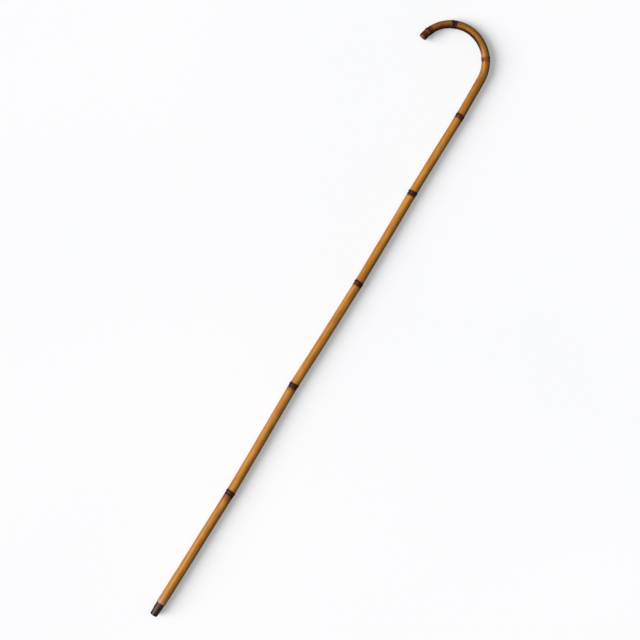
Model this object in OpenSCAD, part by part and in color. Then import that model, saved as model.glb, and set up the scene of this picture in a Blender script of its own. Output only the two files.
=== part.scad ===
// Bamboo walking cane with a heat-bent crook handle, lying flat.
//
// The shaft runs along +Y from the ferrule to the crook, the crook bends in the XY plane and its
// nose points back towards -Y on the -X side. z = 0 is the surface that the cane lies on, and the
// origin is at the bottom centre of its bounding box. All lengths are millimetres.

/* [Shaft] */
// Internode 1, from the tip of the ferrule to the first node
internode_1 = 193; // [180:1:205]
// Internode 2
internode_2 = 168; // [155:1:180]
// Internode 3
internode_3 = 162; // [150:1:175]
// Internode 4
internode_4 = 142; // [130:1:155]
// Internode 5
internode_5 = 121; // [110:1:132]
// Straight stretch between the fifth node and the start of the crook
lead_in = 58; // [50:1:70]
// Radius of the culm just above the ferrule
shaft_r_low = 6.4; // [6.2:0.1:6.8]
// Radius of the culm where the crook begins
shaft_r_high = 5.8; // [5.6:0.1:6]

/* [Lean of each internode] */
// Lean of internode 2 from the ferrule's axis, in degrees, positive away from the nose
lean_2 = -1.8; // [-3:0.1:3]
// Lean of internode 3
lean_3 = 0.3; // [-3:0.1:3]
// Lean of internode 4
lean_4 = -1.4; // [-3:0.1:3]
// Lean of internode 5
lean_5 = -0.7; // [-3:0.1:3]
// Lean of the straight stretch below the crook
lean_6 = -2.2; // [-4:0.1:2]

/* [Crook] */
// Radius of the crook's centre line
crook_R = 48.8; // [44:0.1:56]
// Turn of the crook from the straight shaft to the nose cap, in degrees
crook_turn = 168.5; // [164:0.5:174]
// Turn at which the first node of the crook stands
crook_node_1 = 34; // [25:1:45]
// Turn at which the second node of the crook stands
crook_node_2 = 115; // [95:1:125]
// Turn at which the third node of the crook stands
crook_node_3 = 156; // [140:1:157]
// Radius of the culm at the nose
nose_r = 5.4; // [5.2:0.1:5.6]
// Length of the straight cap that ends the nose
nose_cap = 3; // [2:0.5:5]
// Rounding of the nose's cut edge
nose_round = 1.2; // [0.4:0.1:1.6]

/* [Nodes and hollows] */
// Height of a node's ridge above the culm
ridge_h = 0.8; // [0.6:0.1:1.2]
// Half width of a node's ridge along the culm
ridge_w = 1.6; // [1.4:0.1:1.7]
// Height of the sheath scar above the culm
scar_h = 0.4; // [0.2:0.1:0.6]
// Swelling of the culm next to a node
swell = 0.2; // [0.1:0.1:0.3]
// Radius of the hollow in the lowest internode
hollow_r_low = 2.6; // [2:0.1:3]
// Radius of the hollow in the crook
hollow_r_high = 1.9; // [1.5:0.1:2]

/* [Ferrule] */
// Length of the ferrule
ferrule_len = 19; // [16:0.5:24]
// Outer radius of the ferrule at its upper end
ferrule_r_top = 6.05; // [5.9:0.05:6.15]
// Outer radius of the ferrule at its lower end
ferrule_r_low = 5.15; // [4.9:0.05:5.4]
// Wall of the ferrule's tube
ferrule_wall = 0.5; // [0.4:0.05:0.6]
// Thickness of the wear disc in the ferrule's end
disc_t = 2.6; // [2:0.1:3]
// Distance that the wear disc stands below the ferrule's rim
disc_proud = 0.4; // [0.2:0.1:0.8]
// Radius of a brad's shank
brad_r = 0.5; // [0.4:0.05:0.6]
// Height of the brads above the tip
brad_y = 12; // [10:0.5:13]
// Length of the wooden plug in the tip
tip_plug_len = 26; // [20:1:30]
// Length of the wooden plug in the nose
nose_plug_len = 9; // [7:0.5:9]

/* [Hidden] */
$fn = 64;

bamboo = [0.72, 0.47, 0.19];
plug_wood = [0.55, 0.33, 0.18];
dull_steel = [0.36, 0.32, 0.33];
dark_steel = [0.13, 0.11, 0.11];

// Straight stretches of the culm, each with its length and its lean
stretch = [internode_1, internode_2, internode_3, internode_4, internode_5, lead_in];
lean = [0, lean_2, lean_3, lean_4, lean_5, lean_6];
straight_len = internode_1 + internode_2 + internode_3 + internode_4 + internode_5 + lead_in;
last = len(stretch) - 1;

// Distance along the culm, and place, of the lower end of stretch i
function run(i) = i == 0 ? 0 : run(i - 1) + stretch[i - 1];
function bend(i) = i == 0 ? [0, 0]
    : bend(i - 1) + stretch[i - 1] * [sin(lean[i - 1]), cos(lean[i - 1])];
function shaft_r(i) = shaft_r_low + (shaft_r_high - shaft_r_low) * run(i) / straight_len;
function hollow_r(i) = hollow_r_low + (hollow_r_high - hollow_r_low) * run(i) / straight_len;

// The crook is one arc about crook_c. Its stretches run between the turns in crook_stop.
crook_start = -lean[last];
crook_c = bend(last + 1) + crook_R * [-cos(crook_start), sin(-crook_start)];
crook_stop = [0, crook_node_1, crook_node_2, crook_node_3, crook_turn];
crook_parts = len(crook_stop) - 1;
function crook_r(k) = shaft_r_high + (nose_r - shaft_r_high) * k / (crook_parts - 1);
function crook_dir(turn) = [cos(crook_start + turn), sin(crook_start + turn)];
function crook_point(turn) = crook_c + crook_R * crook_dir(turn);

// A node's ridge is a ring of circular section. The sheath scar is a thin collar below it, and
// the trimmed bud is a ball that stays just under the ridge's height.
ridge_bow = (ridge_w * ridge_w + ridge_h * ridge_h) / (2 * ridge_h);
scar_below = 3.2;
scar_t = 0.9;
bud_r = 2.2;
bud_above = 2.4;
bud_under = 0.1;

// Half of the solid stretch at a node, along the shaft and as a turn of the crook
diaphragm = 4;
diaphragm_turn = 5;

// Length over which an internode swells towards its node
flare = 9;

// Neighbouring stretches lap inside the ridges, and a small step keeps their surfaces apart
lap = 1;
lap_turn = 1.2;
step = 0.1;

// Bounding box: first node, crook's top, nose's rounded edge and the tip
nose_turn = crook_start + crook_turn;
nose_end = crook_point(crook_turn) + nose_cap * [-sin(nose_turn), cos(nose_turn)];
round_c = nose_end + nose_round * [sin(nose_turn), -cos(nose_turn)]
    + (nose_r - step - nose_round) * [cos(nose_turn), sin(nose_turn)];
lie_z = shaft_r(1) + ridge_h;
x_high = lie_z;
x_low = round_c.x - nose_round;
y_high = crook_c.y + crook_R + crook_r(1);
x_mid = (x_low + x_high) / 2;
y_mid = y_high / 2;

// The seat that the ferrule is driven onto follows the tube's inside
seat_r_top = ferrule_r_top - ferrule_wall;
seat_r_low = ferrule_r_low - ferrule_wall;
seat_slope = (seat_r_top - seat_r_low) / (ferrule_len - disc_proud);
function seat_r(y) = seat_r_low + seat_slope * (y - disc_proud);

// Bevel of the culm's shoulder above the ferrule, along and across
shoulder_len = 0.6;
shoulder_r = 0.2;

// Rolled bead at the ferrule's mouth, sunk a little into the tube, and bevel of the wear disc
bead_r = 0.35;
bead_sunk = 0.1;
disc_bevel = 0.5;

// Head of a brad, how deep it is seated in the tube, and its point
brad_head_r = 1.15;
brad_dome = 0.4;
brad_seat = 0.2;
brad_tip_r = 0.9;
brad_point = 1.2;
tube_r_at_brad = seat_r(brad_y) + ferrule_wall;

// Puts a piece drawn about the tip's centre where it lies
module lying() {
    translate([-x_mid, -y_mid, lie_z]) children();
}

// Turns a piece drawn along +Z to lie at point p, leaning by angle from +Y
module along(p, angle = 0) {
    translate([p.x, p.y, 0]) rotate([0, 0, -angle]) rotate([-90, 0, 0]) children();
}

// Repeats its children at each node of the shaft and of the crook, with $r and $side set
module at_nodes() {
    for (i = [1 : last]) {
        $r = shaft_r(i);
        $side = i % 2 == 0 ? 1 : -1;
        along(bend(i), (lean[i - 1] + lean[i]) / 2) children();
    }
    for (k = [1 : crook_parts - 1]) {
        $r = crook_r(k - 1);
        $side = k % 2 == 0 ? -1 : 1;
        along(crook_point(crook_stop[k]), -crook_start - crook_stop[k]) children();
    }
}

// A grown node: rounded ridge, thin sheath scar below it and a trimmed bud on one side
module node_ring(r, side) {
    rotate_extrude() translate([r + ridge_h - ridge_bow, 0]) circle(r = ridge_bow);
    translate([0, 0, -scar_below]) cylinder(r = r + scar_h, h = scar_t);
    translate([side * (r + ridge_h - bud_under - bud_r), 0, bud_above]) sphere(r = bud_r);
}

// A straight internode that swells a little at both ends and laps into the nodes
module internode(length, r_low, r_high) {
    rotate_extrude() polygon([
        [0, -lap], [r_low + swell, -lap], [r_low, flare],
        [r_high, length - flare], [r_high + swell, length + lap], [0, length + lap]
    ]);
}

// The lowest internode, turned down to a tapered seat for the ferrule
module tip_internode(length, r_low, r_high) {
    rotate_extrude() polygon([
        [0, disc_t], [seat_r(disc_t), disc_t], [seat_r(ferrule_len), ferrule_len],
        [r_low - shoulder_r, ferrule_len], [r_low, ferrule_len + shoulder_len],
        [r_high, length - flare], [r_high + swell, length + lap], [0, length + lap]
    ]);
}

// A straight stretch that runs into the crook without a node, a step below the crook's radius
module lead_stretch(length, r_low, r_high) {
    rotate_extrude() polygon([
        [0, -lap], [r_low + swell, -lap], [r_low, flare],
        [r_high - step, length], [r_high - step, length + lap], [0, length + lap]
    ]);
}

// Stretch k of the crook, of radius r, lengthened at its ends by lap_low and lap_high degrees
module crook_stretch(k, r, lap_low, lap_high) {
    from = crook_stop[k] - lap_low;
    to = crook_stop[k + 1] + lap_high;
    translate([crook_c.x, crook_c.y, 0]) rotate([0, 0, crook_start + from])
        rotate_extrude(angle = to - from) translate([crook_R, 0]) circle(r = r);
}

// The cut end of the nose, with its edge rounded
module nose_end_cap() {
    cap_r = nose_r - step;
    arc = [for (a = [0 : 15 : 90])
        [cap_r - nose_round + nose_round * cos(a), nose_cap - nose_round + nose_round * sin(a)]];
    rotate_extrude() polygon(concat([[0, -2 * lap], [cap_r, -2 * lap]], arc, [[0, nose_cap]]));
}

// Hollows between the diaphragms; the lowest and the last are bored open at the cut ends
module hollows() {
    along(bend(0)) cylinder(r = hollow_r(0), h = stretch[0] - diaphragm);
    for (i = [1 : last - 1])
        along(bend(i), lean[i]) translate([0, 0, diaphragm])
            cylinder(r = hollow_r(i), h = stretch[i] - 2 * diaphragm);
    along(bend(last), lean[last]) translate([0, 0, diaphragm])
        cylinder(r = hollow_r(last), h = lead_in - diaphragm + lap);
    crook_stretch(0, hollow_r_high, 0, -diaphragm_turn);
    for (k = [1 : crook_parts - 2])
        crook_stretch(k, hollow_r_high, -diaphragm_turn, -diaphragm_turn);
    along(nose_end, -nose_turn) translate([0, 0, -nose_plug_len])
        cylinder(r = hollow_r_high, h = nose_plug_len + lap);
}

// One round-headed brad along +Z, with its point at z = 0
module brad() {
    head_z = tube_r_at_brad - brad_seat - brad_tip_r;
    rim_z = head_z + brad_seat;
    dome = [for (a = [0 : 15 : 75]) [brad_head_r * cos(a), rim_z + brad_dome * sin(a)]];
    shank = [[0, 0], [brad_r, brad_point], [brad_r, head_z], [brad_head_r, head_z]];
    rotate_extrude() polygon(concat(shank, dome, [[0, rim_z + brad_dome]]));
}

// The two brads, driven from both sides of the tip towards its axis
module brads() {
    for (side = [0, 180])
        along([0, brad_y]) rotate([0, 0, side]) rotate([0, 90, 0])
            translate([0, 0, brad_tip_r]) brad();
}

// The grown bamboo stem with its nodes and its bent crook
module culm() {
    color(bamboo) lying() difference() {
        union() {
            along(bend(0)) tip_internode(stretch[0], shaft_r(0), shaft_r(1));
            for (i = [1 : last - 1])
                along(bend(i), lean[i]) internode(stretch[i], shaft_r(i), shaft_r(i + 1));
            along(bend(last), lean[last]) lead_stretch(lead_in, shaft_r(last), shaft_r_high);
            crook_stretch(0, crook_r(0), 0, lap_turn);
            for (k = [1 : crook_parts - 2]) crook_stretch(k, crook_r(k), lap_turn, lap_turn);
            crook_stretch(crook_parts - 1, crook_r(crook_parts - 1), lap_turn, 0);
            along(crook_point(crook_turn), -nose_turn) nose_end_cap();
            at_nodes() node_ring($r, $side);
        }
        hollows();
        brads();
    }
}

// Hardwood dowel that fills the bored tip and takes the brads
module tip_plug() {
    color(plug_wood) lying() difference() {
        along([0, disc_t]) cylinder(r = hollow_r(0), h = tip_plug_len);
        brads();
    }
}

// Wooden plug that closes the hollow in the cut nose
module nose_plug() {
    color(plug_wood) lying()
        along(nose_end, -nose_turn) translate([0, 0, -nose_plug_len])
            cylinder(r = hollow_r_high, h = nose_plug_len);
}

// Tapered steel tube with a rolled bead at its mouth
module ferrule_tube() {
    color(dull_steel) lying() difference() {
        union() {
            along([0, disc_proud])
                cylinder(r1 = ferrule_r_low, r2 = ferrule_r_top, h = ferrule_len - disc_proud);
            along([0, ferrule_len - bead_r])
                rotate_extrude() translate([ferrule_r_top - bead_sunk, 0]) circle(r = bead_r);
        }
        along([0, disc_proud])
            cylinder(r1 = seat_r_low, r2 = seat_r_top, h = ferrule_len - disc_proud);
        brads();
    }
}

// Steel wear disc brazed into the end of the tube, the face that meets the ground
module ferrule_disc() {
    color(dark_steel) lying() along([0, 0]) rotate_extrude() polygon([
        [0, 0], [seat_r_low - disc_bevel, 0], [seat_r_low, disc_proud],
        [seat_r(disc_t), disc_t], [0, disc_t]
    ]);
}

// Two round-headed brads that pin the tube through the culm into the plug
module ferrule_brads() {
    color(dark_steel) lying() brads();
}

culm();
tip_plug();
nose_plug();
ferrule_tube();
ferrule_disc();
ferrule_brads();
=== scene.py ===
"""Looks of a bamboo walking cane with a crook handle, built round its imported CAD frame.

The cane lies flat: the shaft runs along +Y from the ferrule to the crook, the crook's nose is on
the -X side and +Z is up. Lengths named here are millimetres, and MM turns them into metres.
"""
import math

import bpy
import numpy as np
from mathutils import Matrix, Vector, noise


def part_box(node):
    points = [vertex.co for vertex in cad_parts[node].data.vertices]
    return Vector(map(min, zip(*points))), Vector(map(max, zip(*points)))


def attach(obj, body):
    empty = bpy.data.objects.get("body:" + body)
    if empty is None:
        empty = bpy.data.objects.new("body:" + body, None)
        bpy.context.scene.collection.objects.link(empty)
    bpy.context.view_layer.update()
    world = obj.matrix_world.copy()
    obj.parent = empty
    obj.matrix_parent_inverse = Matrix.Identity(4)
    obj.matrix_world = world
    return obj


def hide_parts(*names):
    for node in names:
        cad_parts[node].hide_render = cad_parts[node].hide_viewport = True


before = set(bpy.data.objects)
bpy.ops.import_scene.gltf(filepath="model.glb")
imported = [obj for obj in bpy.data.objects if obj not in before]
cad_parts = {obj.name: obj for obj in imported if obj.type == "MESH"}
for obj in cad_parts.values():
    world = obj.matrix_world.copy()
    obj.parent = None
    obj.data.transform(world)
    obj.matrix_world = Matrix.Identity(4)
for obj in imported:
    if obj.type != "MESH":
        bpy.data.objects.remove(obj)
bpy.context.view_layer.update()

MM = 0.001

# The culm's line, with the sizes of the CAD part: straight stretches from the tip upwards, their
# leans in degrees towards +X, and then the crook, an arc that turns towards -X.
STRETCHES = (193, 168, 162, 142, 121, 58)
LEANS = (0, -1.8, 0.3, -1.4, -0.7, -2.2)
CROOK_R = 48.8
CROOK_TURN = 168.5
CROOK_NODES = (34, 115, 156)
NOSE_CAP = 3
KINK_EASE = 7       # half the length over which the line turns at a kink

SHAFT_R_LOW = 6.4
SHAFT_R_HIGH = 5.8
NOSE_R = 5.3
NOSE_ROUND = 1.2
TIP_BORE_R = 2.6
TIP_PLUG_LEN = 26
NOSE_BORE_R = 1.9
NOSE_PLUG_LEN = 9

FERRULE_LEN = 19
FERRULE_R_TOP = 6.05
FERRULE_R_LOW = 5.15
FERRULE_WALL = 0.5
DISC_T = 2.6
DISC_PROUD = 0.4    # how far the disc stands out of the tube
BRAD_Y = 12
BRAD_R = 0.5
BRAD_HEAD_R = 1.15
BRAD_HEAD_H = 0.4
BRAD_TIP_R = 0.9    # distance of a brad's point from the cane's centre line

STRAIGHT_LEN = sum(STRETCHES)
ARC_LEN = CROOK_R * math.radians(CROOK_TURN)
CULM_LEN = STRAIGHT_LEN + ARC_LEN + NOSE_CAP
SHAFT_NODES = np.cumsum(STRETCHES)[:-1]
NODE_AT = np.concatenate([SHAFT_NODES, STRAIGHT_LEN + CROOK_R * np.radians(CROOK_NODES)])
FERRULE_SLOPE = (FERRULE_R_TOP - FERRULE_R_LOW) / (FERRULE_LEN - DISC_PROUD)

disc_low, disc_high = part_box("ferrule_disc")
TIP = Vector(((disc_low.x + disc_high.x) / 2, disc_low.y, (disc_low.z + disc_high.z) / 2))


# ---------------------------------------------------------------- shapes

def ease(x):
    """A smooth step from 0 at x = -1 to 1 at x = 1."""
    t = np.clip(x * 0.5 + 0.5, 0, 1)
    return t * t * (3 - 2 * t)


def hump(x, width):
    """A bell of height 1 about x = 0."""
    return np.exp(-(x / width) ** 2)


def skewed(x, low_width, high_width):
    """A bell of height 1 about x = 0, with its own width on each side."""
    return np.where(x < 0, hump(x, low_width), hump(x, high_width))


def seat_r(y):
    """Radius of the tapered seat inside the ferrule, y above the tip."""
    return FERRULE_R_LOW - FERRULE_WALL + FERRULE_SLOPE * (y - DISC_PROUD)


def heading(s):
    """Lean of the culm's line from +Y towards +X, in radians, at distance s from the tip."""
    lean = np.full_like(s, math.radians(LEANS[0]))
    for at, before, after in zip(SHAFT_NODES, LEANS, LEANS[1:]):
        lean += math.radians(after - before) * ease((s - at) / KINK_EASE)
    return lean - np.clip(s - STRAIGHT_LEN, 0, ARC_LEN) / CROOK_R


LINE_STEP = 0.25
line_s = np.arange(0, CULM_LEN + LINE_STEP, LINE_STEP)
line_turn = heading(line_s + LINE_STEP / 2)
line_x = np.concatenate([[0], np.cumsum(np.sin(line_turn) * LINE_STEP)[:-1]])
line_y = np.concatenate([[0], np.cumsum(np.cos(line_turn) * LINE_STEP)[:-1]])


def culm_r(s):
    """Radius of the culm between its nodes."""
    shaft = SHAFT_R_LOW + (SHAFT_R_HIGH - SHAFT_R_LOW) * s / STRAIGHT_LEN
    crook = SHAFT_R_HIGH + (NOSE_R - SHAFT_R_HIGH) * (s - STRAIGHT_LEN) / (ARC_LEN + NOSE_CAP)
    return np.where(s < STRAIGHT_LEN, shaft, crook)


# The buds stand on alternate sides, in a plane that is turned from the crook's plane.
BUD_PLANE = math.radians(-25)

# The relief at a node: heights and depths, widths along the culm, and places above the node.
SWELL, SWELL_WIDTH = 0.14, 6
RIDGE, RIDGE_AT, RIDGE_LOW_WIDTH, RIDGE_HIGH_WIDTH = 0.5, 1.0, 1.15, 1.75
SCAR, SCAR_AT, SCAR_LOW_WIDTH, SCAR_HIGH_WIDTH = 0.42, -2.2, 0.26, 0.62
SCAR_DIP, SCAR_DIP_ANGLE = 1.2, 0.65
GROOVE, GROOVE_AT, GROOVE_WIDTH = 0.2, -0.8, 0.65
BUD, BUD_AT, BUD_HALF_WIDTH, BUD_HALF_LEN = 0.14, 1.5, 2.1, 3.2
BUD_PIT, BUD_PIT_AT, BUD_PIT_HALF_LEN = 0.22, 1.3, 1.6
SULCUS, SULCUS_WIDTH, SULCUS_SPREAD, SULCUS_FROM = 0.42, 1.7, 1.2, 3

# Waves round the culm: height, how many go round, and how far each node's are turned on.
WANDER = ((0.3, 1, 2.1), (0.16, 3, 1.3))
UNEVEN = ((0.22, 2, 0.9), (0.12, 5, 2.3))
RIDGE_TILT = 0.3    # how much higher the ridge runs at the bud, and lower opposite it
SCAR_WANDER = 0.6   # share of the ridge's wander that the scar follows


def bud_turn(i):
    """Angle round the culm at which bud i stands, from the +X side towards +Z."""
    return BUD_PLANE + math.pi * (i % 2 == 0)


def waves(level, rows, theta, i):
    """Adds node i's waves round the culm to level."""
    for height, count, turned in rows:
        level = level + height * np.sin(count * theta + turned * i)
    return level


def grown(s, theta, base):
    """How far the surface stands above radius base at (s, theta): ridges, scars, buds, grooves."""
    out = np.zeros(np.broadcast(s, theta).shape)
    for i, at in enumerate(NODE_AT):
        d = s - at
        side = (theta - bud_turn(i) + math.pi) % (2 * math.pi) - math.pi
        across = side * base
        dip = SCAR_DIP * hump(side, SCAR_DIP_ANGLE)
        wander = waves(0, WANDER, theta, i)
        uneven = waves(1, UNEVEN, theta, i)
        out += SWELL * hump(d, SWELL_WIDTH)
        rise = d - RIDGE_AT - wander - RIDGE_TILT * np.cos(side)
        out += RIDGE * uneven * skewed(rise, RIDGE_LOW_WIDTH, RIDGE_HIGH_WIDTH)
        ledge = d - SCAR_AT + dip - SCAR_WANDER * wander
        out += SCAR * (2 - uneven) * skewed(ledge, SCAR_LOW_WIDTH, SCAR_HIGH_WIDTH)
        out -= GROOVE * hump(d - GROOVE_AT + dip / 2 - wander, GROOVE_WIDTH)
        oval = 1 - (across / BUD_HALF_WIDTH) ** 2 - ((d - BUD_AT) / BUD_HALF_LEN) ** 2
        out += BUD * ease(1.6 * oval)
        out -= BUD_PIT * hump(np.hypot(across, (d - BUD_PIT_AT) / BUD_PIT_HALF_LEN), 1)
        end = NODE_AT[i + 1] if i + 1 < len(NODE_AT) else CULM_LEN
        along = np.clip((d - SULCUS_FROM) / (end - at - 2 * SULCUS_FROM), 0, 1)
        fade = ease((d - 2 * SULCUS_FROM) / SULCUS_FROM) * (1 - along) ** 1.3
        out -= SULCUS * fade * hump(across, SULCUS_WIDTH + SULCUS_SPREAD * along)
    return out


# Slow unevenness of the grown surface: height, how busy it is round the culm, length along it
# and an offset that keeps the two layers apart.
LUMPS = ((0.09, 0.9, 22, 0), (0.035, 3, 6, 40))


def lumps(s, theta):
    """The height of that unevenness at each (s, theta)."""
    out = np.zeros(np.broadcast(s, theta).shape)
    for row in range(out.shape[0]):
        for col in range(out.shape[1]):
            a, along = theta[0, col], s[row, 0]
            for height, busy, length, offset in LUMPS:
                p = Vector((math.cos(a) * busy, math.sin(a) * busy, along / length + offset))
                out[row, col] += height * noise.noise(p)
    return out


def link(name, verts, faces, smooth_angle=None):
    """Makes a mesh object from points in metres and faces, smooth shaded."""
    mesh = bpy.data.meshes.new(name)
    mesh.from_pydata(verts, [], faces)
    mesh.validate()
    mesh.polygons.foreach_set("use_smooth", [True] * len(mesh.polygons))
    obj = bpy.data.objects.new(name, mesh)
    bpy.context.scene.collection.objects.link(obj)
    if smooth_angle:
        mesh.set_sharp_from_angle(angle=math.radians(smooth_angle))
    return obj


def band_faces(rings, around, closed=False):
    """Quads between neighbouring rings, and from the last ring to the first if closed."""
    faces = []
    for row in range(rings if closed else rings - 1):
        low, high = row * around, (row + 1) % rings * around
        for col in range(around):
            nxt = (col + 1) % around
            faces.append((low + col, low + nxt, high + nxt, high + col))
    return faces


def skin_faces(rings, around):
    """Faces of a tube of rings that is closed at both ends by a single point."""
    faces = band_faces(rings, around)
    first, last = rings * around, rings * around + 1
    top = (rings - 1) * around
    for col in range(around):
        nxt = (col + 1) % around
        faces.append((first, nxt, col))
        faces.append((last, top + col, top + nxt))
    return faces


# Rings on the culm's skin: within each distance of a node they stand this far apart.
RING_STEPS = ((4, 0.24), (8, 0.5), (math.inf, 1.6))
CHAMFER = 0.2       # broken edges of the tip's cut end
HUB_R = 0.3         # the smallest ring, round the point that closes each end
# The skin rises from the ferrule's mouth: distance above it, depth under the skin, grown detail.
MOUTH_RISE = ((0.05, 0.35, 0), (0.15, 0.15, 0.1), (0.4, 0.04, 0.3))


def culm_stations():
    """Stations along the culm's closed outline, from the bottom of the tip's bore round the
    outside to the bottom of the nose's bore: distance, plain radius, share of grown detail and
    whether the face behind it is cut wood."""
    bore_end = DISC_T + TIP_PLUG_LEN
    out = [(bore_end, HUB_R, 0, 1), (bore_end, TIP_BORE_R, 0, 1),
           (DISC_T + CHAMFER, TIP_BORE_R, 0, 1), (DISC_T, TIP_BORE_R + CHAMFER, 0, 1),
           (DISC_T, seat_r(DISC_T) - CHAMFER, 0, 1), (DISC_T + CHAMFER, seat_r(DISC_T), 0, 1)]
    out += [(y, seat_r(y), 0, 1) for y in np.linspace(4, FERRULE_LEN, 12)]
    mouth = culm_r(np.array(float(FERRULE_LEN)))
    out += [(FERRULE_LEN + above, mouth - under, detail, 0) for above, under, detail in MOUTH_RISE]
    skin_end = CULM_LEN - NOSE_ROUND
    s = FERRULE_LEN + 0.8
    while s < skin_end:
        out.append((s, float(culm_r(np.array(s))), 1, 0))
        nearest = np.abs(NODE_AT - s).min()
        s += next(step for within, step in RING_STEPS if nearest < within)
    for a in np.radians(np.arange(0, 91, 15)):
        drop = NOSE_ROUND * (1 - math.cos(a))
        out.append((skin_end + NOSE_ROUND * math.sin(a), NOSE_R - drop, math.cos(a), 0))
    for r in (3.5, 2.9, 2.3, NOSE_BORE_R + 0.15):
        out.append((CULM_LEN, r, 0, 1))
    out += [(CULM_LEN - 0.15, NOSE_BORE_R, 0, 1), (CULM_LEN - NOSE_PLUG_LEN, NOSE_BORE_R, 0, 1),
            (CULM_LEN - NOSE_PLUG_LEN, HUB_R, 0, 1)]
    return np.array(out)


AROUND = 96         # points round each ring of the culm
SHY = 0.03          # how far the skin keeps under the CAD part's
OVAL = 0.02         # share by which bending flattens the crook
OVAL_START, OVAL_START_HALF = STRAIGHT_LEN + 8, 14
OVAL_END, OVAL_END_HALF = CULM_LEN - 6, 6
SWAY = 0.25         # slow wander of the straight culm off its line
SWAY_END, SWAY_END_HALF = 925, 20
CULM_SHARP_ANGLE = 40


def make_culm():
    """The grown stem: kinked line, nodes with scars and buds, grooves and the bent crook."""
    st = culm_stations()
    s, plain, detail = st[:, 0:1], st[:, 1:2], st[:, 2:3]
    theta = np.linspace(0, 2 * math.pi, AROUND, endpoint=False)[None, :]
    bent = ease((s - OVAL_START) / OVAL_START_HALF) * ease((OVAL_END - s) / OVAL_END_HALF)
    oval = 1 - OVAL * bent * np.cos(2 * theta)
    relief = grown(s, theta, plain) + lumps(s, theta) - SHY
    r = plain * (1 + detail * (oval - 1)) + detail * relief
    cx, cy = np.interp(s, line_s, line_x), np.interp(s, line_s, line_y)
    turn = np.interp(s, line_s, heading(line_s))
    sway = detail * SWAY * np.sin(s / 41 + 0.7) * np.sin(s / 97)
    sway = sway * ease((SWAY_END - s) / SWAY_END_HALF)
    x = cx + np.cos(turn) * (r * np.cos(theta) + sway)
    y = cy - np.sin(turn) * (r * np.cos(theta) + sway)
    z = r * np.sin(theta) + 0.6 * sway
    verts = np.stack([x, y, z], axis=-1).reshape(-1, 3)
    ends = [[cx[0, 0], cy[0, 0], 0], [cx[-1, 0], cy[-1, 0], 0]]
    verts = np.concatenate([verts, ends]) * MM + np.array(TIP)
    outwards = [face[::-1] for face in skin_faces(len(st), AROUND)]
    culm = link("culm_skin", verts.tolist(), outwards, CULM_SHARP_ANGLE)
    around, up = plain * np.cos(theta), plain * np.sin(theta)
    grain = np.stack([around, up, s + 0 * theta], axis=-1).reshape(-1, 3)
    store(culm, "grain", "FLOAT_VECTOR", np.concatenate([grain, [[0, 0, s[0, 0]], [0, 0, s[-1, 0]]]]))
    store(culm, "char", "FLOAT", ends_too(charred(s, theta)))
    browning = sum(change * ease((s - at) / half) for change, at, half in BROWNED)
    store(culm, "browning", "FLOAT", ends_too(browning + 0 * theta))
    culm.data.polygons.foreach_set("material_index", cut_faces(st[:, 3] > 0.5))
    return culm


# How the skin browns towards the crook's end: the change, where it is, and half its length.
BROWNED = ((0.4, 780, 50), (-0.1, 868, 14), (0.4, 938, 8))

# How each node is scorched: how strongly, and how far the browning runs below and above it.
SCORCH = ((1, 15, 3.4), (1, 9, 3.4), (0.95, 7.5, 3.2), (0.95, 5, 3.4), (0.9, 6.5, 3.8),
          (0.75, 9, 5), (1, 5, 4), (0.95, 5, 5))
BURNT_HALF = 4.3    # half the length of the black band at a node
BURNT_TILT = 0.7    # how much higher the band runs at the bud, and lower opposite it
BROWN_TAIL = 0.55   # how strong the browning beside the band is

# The crook's scorched inner side: strength, level and reach round the culm, where it starts, and
# half the length over which it does.
INNER_SCORCH = ((0.85, -1.1, 2.1, 884, 18), (0.72, -0.1, 1.3, 940, 6))

NOSE_SMOKE, NOSE_SMOKE_LEN = 0.7, 10
RIM_CLEAR, RIM_LEN = 0.36, 1.6      # the nose's rounded rim is burnt less by this much


def charred(s, theta):
    """How far the skin is burnt, from 0 to 1: bands at the nodes, and the crook's inner side."""
    out = np.zeros(np.broadcast(s, theta).shape)
    for i, (at, (strength, below, above)) in enumerate(zip(NODE_AT, SCORCH)):
        d = s - at - BURNT_TILT * np.cos(theta - bud_turn(i))
        core = np.exp(-(np.abs(d) / BURNT_HALF) ** 4)
        tail = np.where(d < 0, np.exp(-(d / below) ** 2), np.exp(-(d / above) ** 2))
        patchy = strength * (1 - 2 * (1 - strength) * np.sin(theta) ** 2)
        out = np.maximum(out, patchy * np.maximum(core, BROWN_TAIL * tail))
    for strength, level, reach, start, half in INNER_SCORCH:
        inside = strength * ease(level - reach * np.cos(theta)) * ease((s - start) / half)
        out = np.maximum(out, inside)
    rim = ease((s - CULM_LEN + RIM_LEN) / 0.9)
    nose = ease((s - CULM_LEN + NOSE_SMOKE_LEN) / 4) * (NOSE_SMOKE - RIM_CLEAR * rim)
    return np.maximum(out, nose)


def ends_too(values):
    """Flattens a value for each ring point and adds the two closing points."""
    flat = values.reshape(-1)
    return np.concatenate([flat, [flat[0], flat[-1]]])


def cut_faces(cut):
    """1 for each face that lies between two cut stations, in the order of skin_faces."""
    rows = np.repeat(cut[:-1] & cut[1:], AROUND).astype(int)
    return np.concatenate([rows, np.ones(2 * AROUND, int)])


def store(obj, name, kind, values):
    """Keeps a value for each point of the mesh, for the material to read."""
    made = obj.data.attributes.new(name, kind, "POINT")
    made.data.foreach_set("vector" if kind == "FLOAT_VECTOR" else "value", values.reshape(-1))


TURNED_SHARP_ANGLE = 35


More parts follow.
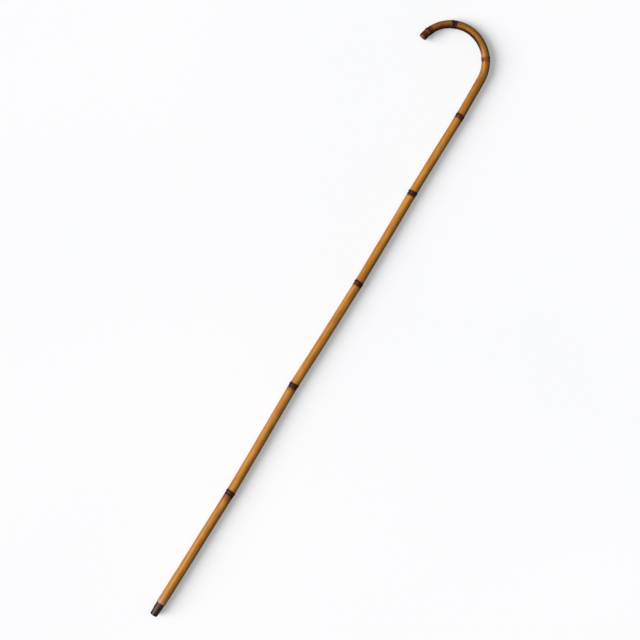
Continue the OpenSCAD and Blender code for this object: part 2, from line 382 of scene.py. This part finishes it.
def revolve(name, outline, centre, axis, around=96, dent=0.0, closed=False):
    """Turns an outline of (along, radius) points in millimetres about axis through centre.
    An open outline starts and ends on the axis; a closed one is a ring's section."""
    axis = Vector(axis).normalized()
    side = axis.orthogonal().normalized()
    other = axis.cross(side)
    verts = []
    for along, radius in outline:
        for col in range(around):
            a = 2 * math.pi * col / around
            push = dent * noise.noise(Vector((math.cos(a) * 1.7, math.sin(a) * 1.7, along / 4)))
            out = side * math.cos(a) + other * math.sin(a)
            verts.append(centre + (axis * along + out * (radius + push)) * MM)
    if closed:
        faces = band_faces(len(outline), around, closed=True)
    else:
        verts += [centre + axis * outline[0][0] * MM, centre + axis * outline[-1][0] * MM]
        faces = skin_faces(len(outline), around)
    return link(name, verts, faces, TURNED_SHARP_ANGLE)


def bow(centre_along, centre_r, size, start, end, steps=6):
    """Points of a round corner in a revolved outline, angles in degrees from outwards to up."""
    return [(centre_along + size * math.sin(a), centre_r + size * math.cos(a))
            for a in np.radians(np.linspace(start, end, steps))]


def make_ferrule():
    """Tapered steel tube: rounded lower rim, knocked sides and a rolled bead at the mouth."""
    rim, bead = 0.2, 0.34
    bead_y = FERRULE_LEN - bead
    outline = bow(DISC_PROUD + rim, FERRULE_R_LOW - rim, rim, -90, 0)
    outline += [(y, FERRULE_R_LOW + FERRULE_SLOPE * (y - DISC_PROUD))
                for y in np.linspace(DISC_PROUD + 0.6, bead_y - 0.6, 30)]
    outline += bow(bead_y, FERRULE_R_TOP - 0.1, bead, -70, 90, 9)
    outline += [(FERRULE_LEN, seat_r(FERRULE_LEN) + 0.1), (FERRULE_LEN - 0.1, seat_r(FERRULE_LEN))]
    outline += [(y, seat_r(y)) for y in np.linspace(FERRULE_LEN - 1, DISC_PROUD + 0.5, 8)]
    outline += [(DISC_PROUD + 0.1, seat_r(DISC_PROUD)), (DISC_PROUD, seat_r(DISC_PROUD) + 0.1)]
    return revolve("ferrule_sleeve", outline, TIP, (0, 1, 0), dent=0.07, closed=True)


def make_wear_disc():
    """Steel disc in the ferrule's end, its edge rounded by wear."""
    edge = 0.45
    outline = [(0, 0.6), (0, 1.6), (0, 2.6), (0, 3.4)]
    outline += bow(edge, seat_r(DISC_PROUD) - edge - 0.02, edge, -90, 0, 7)
    outline += [(DISC_T - 0.1, seat_r(DISC_T)), (DISC_T, seat_r(DISC_T) - 0.1), (DISC_T, 0.6)]
    return revolve("ferrule_wear_disc", outline, TIP, (0, 1, 0), dent=0.02)


def make_brads():
    """Two round-headed brads, driven in from both sides of the tip, as one piece."""
    head_y = seat_r(BRAD_Y) + FERRULE_WALL - BRAD_TIP_R
    outline = [(0, 0.08), (1.2, BRAD_R), (head_y - 0.2, BRAD_R), (head_y - 0.18, BRAD_HEAD_R - 0.08),
               (head_y - 0.1, BRAD_HEAD_R)]
    outline += [(head_y + BRAD_HEAD_H * math.sin(a), BRAD_HEAD_R * math.cos(a))
                for a in np.radians(np.linspace(5, 85, 9))]
    made = []
    for side in (1, -1):
        start = TIP + Vector((side * BRAD_TIP_R, BRAD_Y, 0)) * MM
        made.append(revolve("ferrule_nails", outline, start, (side, 0, 0), around=40, dent=0.02))
    with bpy.context.temp_override(active_object=made[0], selected_editable_objects=made):
        bpy.ops.object.join()
    return made[0]


PLUG_CROWN = 0.1


def make_plug(name, radius, length, centre, axis):
    """A turned wooden plug, its outer end crowned."""
    outline = [(0, 0.4), (0, radius - 0.25), (0.25, radius)]
    outline += [(y, radius) for y in np.linspace(1, length - 0.4, 8)]
    outline += [(length - 0.15, radius - 0.06), (length - PLUG_CROWN, radius - 0.35),
                (length - PLUG_CROWN * 0.4, radius * 0.5), (length, 0.3)]
    return revolve(name, outline, centre, axis, around=64, dent=0.03)


# ---------------------------------------------------------------- materials

def srgb(r, g, b):
    """A colour given as 0-255 screen values, as Blender's linear colour."""
    shares = (c / 255 for c in (r, g, b))
    return [((c + 0.055) / 1.055) ** 2.4 if c > 0.04045 else c / 12.92 for c in shares] + [1]


class Nodes:
    """A material's node tree with short calls for the nodes used here."""

    def __init__(self, name):
        self.mat = bpy.data.materials.new(name)
        self.mat.use_nodes = True
        self.tree = self.mat.node_tree
        self.shader = self.tree.nodes["Principled BSDF"]

    def add(self, kind, **values):
        made = self.tree.nodes.new(kind)
        for key, value in values.items():
            setattr(made, key, value)
        return made

    def put(self, socket, value):
        if isinstance(value, bpy.types.NodeSocket):
            self.tree.links.new(value, socket)
        else:
            socket.default_value = value

    def attribute(self, name, output="Fac"):
        return self.add("ShaderNodeAttribute", attribute_name=name).outputs[output]

    def scaled(self, vector, scale):
        made = self.add("ShaderNodeVectorMath", operation="MULTIPLY")
        self.put(made.inputs[0], vector)
        made.inputs[1].default_value = scale
        return made.outputs[0]

    def separated(self, vector, axis):
        made = self.add("ShaderNodeSeparateXYZ")
        self.put(made.inputs[0], vector)
        return made.outputs[axis]

    def noise(self, vector, detail=3.0, rough=0.55):
        made = self.add("ShaderNodeTexNoise")
        self.put(made.inputs["Vector"], vector)
        made.inputs["Scale"].default_value = 1
        made.inputs["Detail"].default_value = detail
        made.inputs["Roughness"].default_value = rough
        return made.outputs["Fac"]

    def math(self, operation, a, b):
        made = self.add("ShaderNodeMath", operation=operation)
        self.put(made.inputs[0], a)
        self.put(made.inputs[1], b)
        return made.outputs[0]

    def span(self, value, low, high, to_low=0.0, to_high=1.0):
        made = self.add("ShaderNodeMapRange", interpolation_type="SMOOTHSTEP")
        for socket, given in zip(made.inputs, (value, low, high, to_low, to_high)):
            self.put(socket, given)
        return made.outputs[0]

    def ramp(self, value, *stops):
        made = self.add("ShaderNodeValToRGB")
        ramp = made.color_ramp
        while len(ramp.elements) < len(stops):
            ramp.elements.new(0.5)
        for element, (at, colour) in zip(ramp.elements, stops):
            element.position, element.color = at, colour
        self.put(made.inputs[0], value)
        return made.outputs[0]

    def mix(self, factor, a, b):
        made = self.add("ShaderNodeMix", data_type="RGBA")
        self.put(made.inputs["Factor"], factor)
        self.put(made.inputs[6], a)
        self.put(made.inputs[7], b)
        return made.outputs[2]

    def bump(self, height, strength, distance):
        made = self.add("ShaderNodeBump")
        self.put(made.inputs["Height"], height)
        made.inputs["Strength"].default_value = strength
        made.inputs["Distance"].default_value = distance
        self.put(self.shader.inputs["Normal"], made.outputs[0])

    def set(self, **values):
        for key, value in values.items():
            self.put(self.shader.inputs[key.replace("_", " ")], value)
        return self.mat


def bamboo_skin():
    """Lacquered, flame-toned bamboo: lengthwise fibres, mottling, scorched nodes, browned crook."""
    n = Nodes("bamboo_skin")
    dull, straw, pale = srgb(144, 88, 24), srgb(168, 110, 38), srgb(184, 130, 56)
    fibre_brown, smoked, scorched = srgb(118, 66, 22), srgb(92, 44, 13), srgb(92, 38, 12)
    rubbed, coal, maroon = srgb(178, 126, 98), srgb(24, 4, 2), srgb(66, 16, 8)

    grain = n.attribute("grain", "Vector")
    char = n.attribute("char")
    browning = n.attribute("browning")
    fibre = n.noise(n.scaled(grain, (2.4, 2.4, 0.02)), 4)
    streak = n.noise(n.scaled(grain, (0.5, 0.5, 0.009)), 3)
    mottle = n.noise(n.scaled(grain, (0.13, 0.13, 0.045)), 4, 0.6)
    patch = n.noise(n.scaled(grain, (0.3, 0.3, 0.07)), 5, 0.65)
    edge = n.noise(n.scaled(grain, (0.6, 0.6, 0.25)), 4, 0.6)

    tone = n.math("ADD", n.math("MULTIPLY", streak, 0.55), n.math("MULTIPLY", mottle, 0.45))
    skin = n.ramp(tone, (0.36, dull), (0.5, straw), (0.64, pale))
    skin = n.mix(n.span(fibre, 0.5, 0.7, 0.0, 0.4), skin, fibre_brown)
    brown = n.math("MULTIPLY", browning, n.span(patch, 0.32, 0.68, 0.6, 1.2))
    skin = n.mix(brown, skin, smoked)
    near_ferrule = n.span(n.separated(grain, "Z"), 20, 36, 0.55, 0.0)
    skin = n.mix(near_ferrule, skin, rubbed)

    burn = n.math("ADD", char, n.math("MULTIPLY", n.math("SUBTRACT", edge, 0.5), 0.45))
    skin = n.mix(n.span(burn, 0.12, 0.55, 0.0, 0.8), skin, scorched)
    black = n.span(burn, 0.42, 0.8)
    soot = n.mix(n.span(edge, 0.42, 0.62), coal, maroon)
    skin = n.mix(black, skin, soot)

    n.bump(n.math("ADD", fibre, n.math("MULTIPLY", patch, 0.5)), 0.35, 0.00012)
    rough = n.math("ADD", n.span(mottle, 0.3, 0.7, 0.34, 0.48), n.math("MULTIPLY", black, 0.2))
    return n.set(Base_Color=skin, Roughness=rough, Specular_IOR_Level=0.32,
                 Specular_Tint=(1.0, 0.84, 0.7, 1))


def cut_bamboo():
    """End grain of the culm, darkened, with the ends of its fibres as dots."""
    n = Nodes("cut_bamboo")
    grain = n.attribute("grain", "Vector")
    dots = n.add("ShaderNodeTexVoronoi")
    n.put(dots.inputs["Vector"], n.scaled(grain, (1.9, 1.9, 0.05)))
    dots.inputs["Scale"].default_value = 1
    stain = n.noise(n.scaled(grain, (0.5, 0.5, 0.5)), 4)
    base = n.ramp(stain, (0.3, srgb(84, 47, 34)), (0.7, srgb(142, 94, 70)))
    base = n.mix(n.span(dots.outputs["Distance"], 0.15, 0.4, 0.7, 0.0), base, srgb(30, 14, 9))
    n.bump(dots.outputs["Distance"], 0.4, 0.0001)
    return n.set(Base_Color=base, Roughness=n.span(stain, 0.3, 0.7, 0.5, 0.7))


def plug_wood():
    """Turned hardwood, uneven in tone, with pores along it."""
    n = Nodes("plug_wood")
    place = n.add("ShaderNodeTexCoord").outputs["Object"]
    pores = n.noise(n.scaled(place, (2400, 160, 2400)), 3)
    tone = n.noise(n.scaled(place, (420, 60, 420)), 3)
    base = n.ramp(tone, (0.3, srgb(92, 50, 32)), (0.7, srgb(146, 88, 60)))
    base = n.mix(n.span(pores, 0.5, 0.7, 0.0, 0.6), base, srgb(60, 30, 18))
    n.bump(pores, 0.4, 0.0001)
    return n.set(Base_Color=base, Roughness=n.span(tone, 0.3, 0.7, 0.5, 0.66))


# The darkening towards the toe end: how far up it is darkest, where it ends and how ragged its edge
# is.
TOE_BLACK, TOE_CLEAR, TOE_RAGGED = 1, 5.5, 8


def old_steel(name, dark, light, rust, rust_share, metallic):
    """Dull steel: drawn scratches, blotched patina, brown rust, and near black towards the toe end.
    """
    n = Nodes(name)
    place = n.add("ShaderNodeTexCoord").outputs["Object"]
    blotch = n.noise(n.scaled(place, (260, 260, 260)), 5, 0.6)
    scratch = n.noise(n.scaled(place, (5200, 320, 5200)), 3)
    pit = n.noise(n.scaled(place, (1500, 1500, 1500)), 4, 0.7)
    base = n.ramp(blotch, (0.32, dark), (0.68, light))
    base = n.mix(n.span(scratch, 0.52, 0.72, 0.0, 0.35), base, light)
    red = n.math("MULTIPLY", n.span(blotch, 0.5, 0.66), n.span(pit, 0.42, 0.62))
    red = n.math("MULTIPLY", red, rust_share)
    base = n.mix(red, base, rust)
    uneven = n.math("MULTIPLY", n.math("SUBTRACT", blotch, 0.5), TOE_RAGGED * MM)
    height = n.math("ADD", n.separated(place, "Y"), uneven)
    # near black over the last few millimetres at the toe end, fading out higher up
    toe = n.span(height, TIP.y + TOE_BLACK * MM, TIP.y + TOE_CLEAR * MM, 0.8, 0.0)
    base = n.mix(toe, base, srgb(22, 15, 13))
    rough = n.math("ADD", n.span(blotch, 0.3, 0.7, 0.4, 0.56), n.math("MULTIPLY", red, 0.25))
    n.bump(n.math("ADD", scratch, n.math("MULTIPLY", pit, 0.8)), 0.4, 0.00008)
    return n.set(Base_Color=base, Metallic=metallic, Roughness=rough)


def floor_paint():
    """Plain pale floor with the faintest unevenness."""
    n = Nodes("floor_paint")
    place = n.add("ShaderNodeTexCoord").outputs["Object"]
    tone = n.noise(n.scaled(place, (1.3, 1.3, 1.3)), 2)
    base = n.ramp(tone, (0.3, srgb(210, 211, 213)), (0.7, srgb(214, 214, 216)))
    return n.set(Base_Color=base, Roughness=0.8, Specular_IOR_Level=0.1,
                 Emission_Color=(0.98, 0.99, 1, 1), Emission_Strength=0.3)


# ---------------------------------------------------------------- the cane

def dress(piece, slot, materials, *nodes):
    """Gives a piece its materials, and puts it in place of the CAD nodes that it stands for."""
    for material in materials:
        piece.data.materials.append(material)
    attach(piece, "root")
    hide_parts(*nodes)


steel = old_steel("ferrule_steel", srgb(32, 15, 10), srgb(78, 50, 43), srgb(84, 40, 20),
                  rust_share=0.85, metallic=0.45)
worn = old_steel("wear_steel", srgb(20, 15, 15), srgb(60, 52, 52), srgb(52, 28, 17),
                 rust_share=0.7, metallic=0.7)
wood = plug_wood()

dress(make_culm(), "bamboo", [bamboo_skin(), cut_bamboo()], "culm")
dress(make_ferrule(), "ferrule_steel", [steel], "ferrule_tube")
dress(make_wear_disc(), "wear_steel", [worn], "ferrule_disc")
dress(make_brads(), "wear_steel", [worn], "ferrule_brads")

bore_start = TIP + Vector((0, DISC_T, 0)) * MM
tip_plug = make_plug("tip_dowel", TIP_BORE_R, TIP_PLUG_LEN, bore_start, (0, 1, 0))
dress(tip_plug, "plug_wood", [wood], "tip_plug")

nose_lean = float(heading(np.array([CULM_LEN]))[0])
nose_dir = Vector((math.sin(nose_lean), math.cos(nose_lean), 0))
nose_end = TIP + Vector((line_x[-1], line_y[-1], 0)) * MM
nose_bore = nose_end - nose_dir * NOSE_PLUG_LEN * MM
nose_plug = make_plug("nose_dowel", NOSE_BORE_R, NOSE_PLUG_LEN, nose_bore, nose_dir)
dress(nose_plug, "plug_wood", [wood], "nose_plug")


# ---------------------------------------------------------------- floor, light and camera

FLOOR_HALF = 40.0   # metres, so that the floor's edge melts into the white horizon
floor = link("floor", [(-FLOOR_HALF, -FLOOR_HALF, 0), (FLOOR_HALF, -FLOOR_HALF, 0),
                       (FLOOR_HALF, FLOOR_HALF, 0), (-FLOOR_HALF, FLOOR_HALF, 0)], [(0, 1, 2, 3)])
floor.data.materials.append(floor_paint())
floor.visible_diffuse = False
floor.visible_glossy = False

# The picture is turned so that the shaft leans to the right of upright by this angle.
PICTURE_TURN = math.radians(32)
picture_right = Vector((math.cos(PICTURE_TURN), math.sin(PICTURE_TURN), 0))
picture_up = Vector((-math.sin(PICTURE_TURN), math.cos(PICTURE_TURN), 0))


def soft_sun(name, right, up, height, spread, power, colour):
    """Wide, even light from a direction given in the picture; spread is its width in degrees."""
    data = bpy.data.lights.new(name, "SUN")
    data.angle, data.energy, data.color = math.radians(spread), power, colour
    obj = bpy.data.objects.new(name, data)
    bpy.context.scene.collection.objects.link(obj)
    obj.rotation_mode = "QUATERNION"
    toward = picture_right * right + picture_up * up + Vector((0, 0, height))
    obj.rotation_quaternion = toward.to_track_quat("Z", "Y")


soft_sun("window", right=-1.0, up=-0.05, height=0.6, spread=42, power=5.1, colour=(1.0, 0.99, 0.98))

# The room's brightness by height, from 0 straight down through 0.5 at the horizon.
ROOM_LEVELS = ((0.485, 0.03), (0.497, 0.95), (0.54, 0.95), (0.6, 0.18))
ROOM_TINT = (0.97, 0.985, 1)


def studio_air():
    """A dim grey room above, white at the level of the eye and dark below the floor."""
    world = bpy.data.worlds.new("studio")
    world.use_nodes = True
    tree = world.node_tree
    place = tree.nodes.new("ShaderNodeTexCoord")
    height = tree.nodes.new("ShaderNodeSeparateXYZ")
    ramp = tree.nodes.new("ShaderNodeValToRGB")
    half = tree.nodes.new("ShaderNodeMapRange")
    half.inputs["From Min"].default_value = -1
    tree.links.new(place.outputs["Generated"], height.inputs[0])
    tree.links.new(height.outputs["Z"], half.inputs["Value"])
    tree.links.new(half.outputs[0], ramp.inputs[0])
    tree.links.new(ramp.outputs[0], tree.nodes["Background"].inputs["Color"])
    while len(ramp.color_ramp.elements) < len(ROOM_LEVELS):
        ramp.color_ramp.elements.new(0.5)
    for element, (at, level) in zip(ramp.color_ramp.elements, ROOM_LEVELS):
        element.position, element.color = at, [level * share for share in ROOM_TINT] + [1]
    bpy.context.scene.world = world


studio_air()
bpy.context.scene.view_settings.view_transform = "Standard"

# The camera stands over a point to the left of the cane and looks down at it. Both in metres.
CAMERA_AT = Vector((-0.272, -0.012, 2.0))
FIELD = 0.86        # width of the view at the cane
line_right = line_x * MM * picture_right.x + line_y * MM * picture_right.y
line_up = line_x * MM * picture_up.x + line_y * MM * picture_up.y
middle = TIP + picture_right * float(line_right.min() + line_right.max()) / 2
middle += picture_up * float(line_up.min() + line_up.max()) / 2

camera_data = bpy.data.cameras.new("camera")
camera_data.lens = camera_data.sensor_width * (CAMERA_AT - middle).length / FIELD
camera = bpy.data.objects.new("camera", camera_data)
bpy.context.scene.collection.objects.link(camera)
back = (CAMERA_AT - middle).normalized()
across = (picture_right - back * picture_right.dot(back)).normalized()
camera.matrix_world = Matrix((across, back.cross(across), back)).transposed().to_4x4()
camera.location = CAMERA_AT
bpy.context.scene.camera = camera
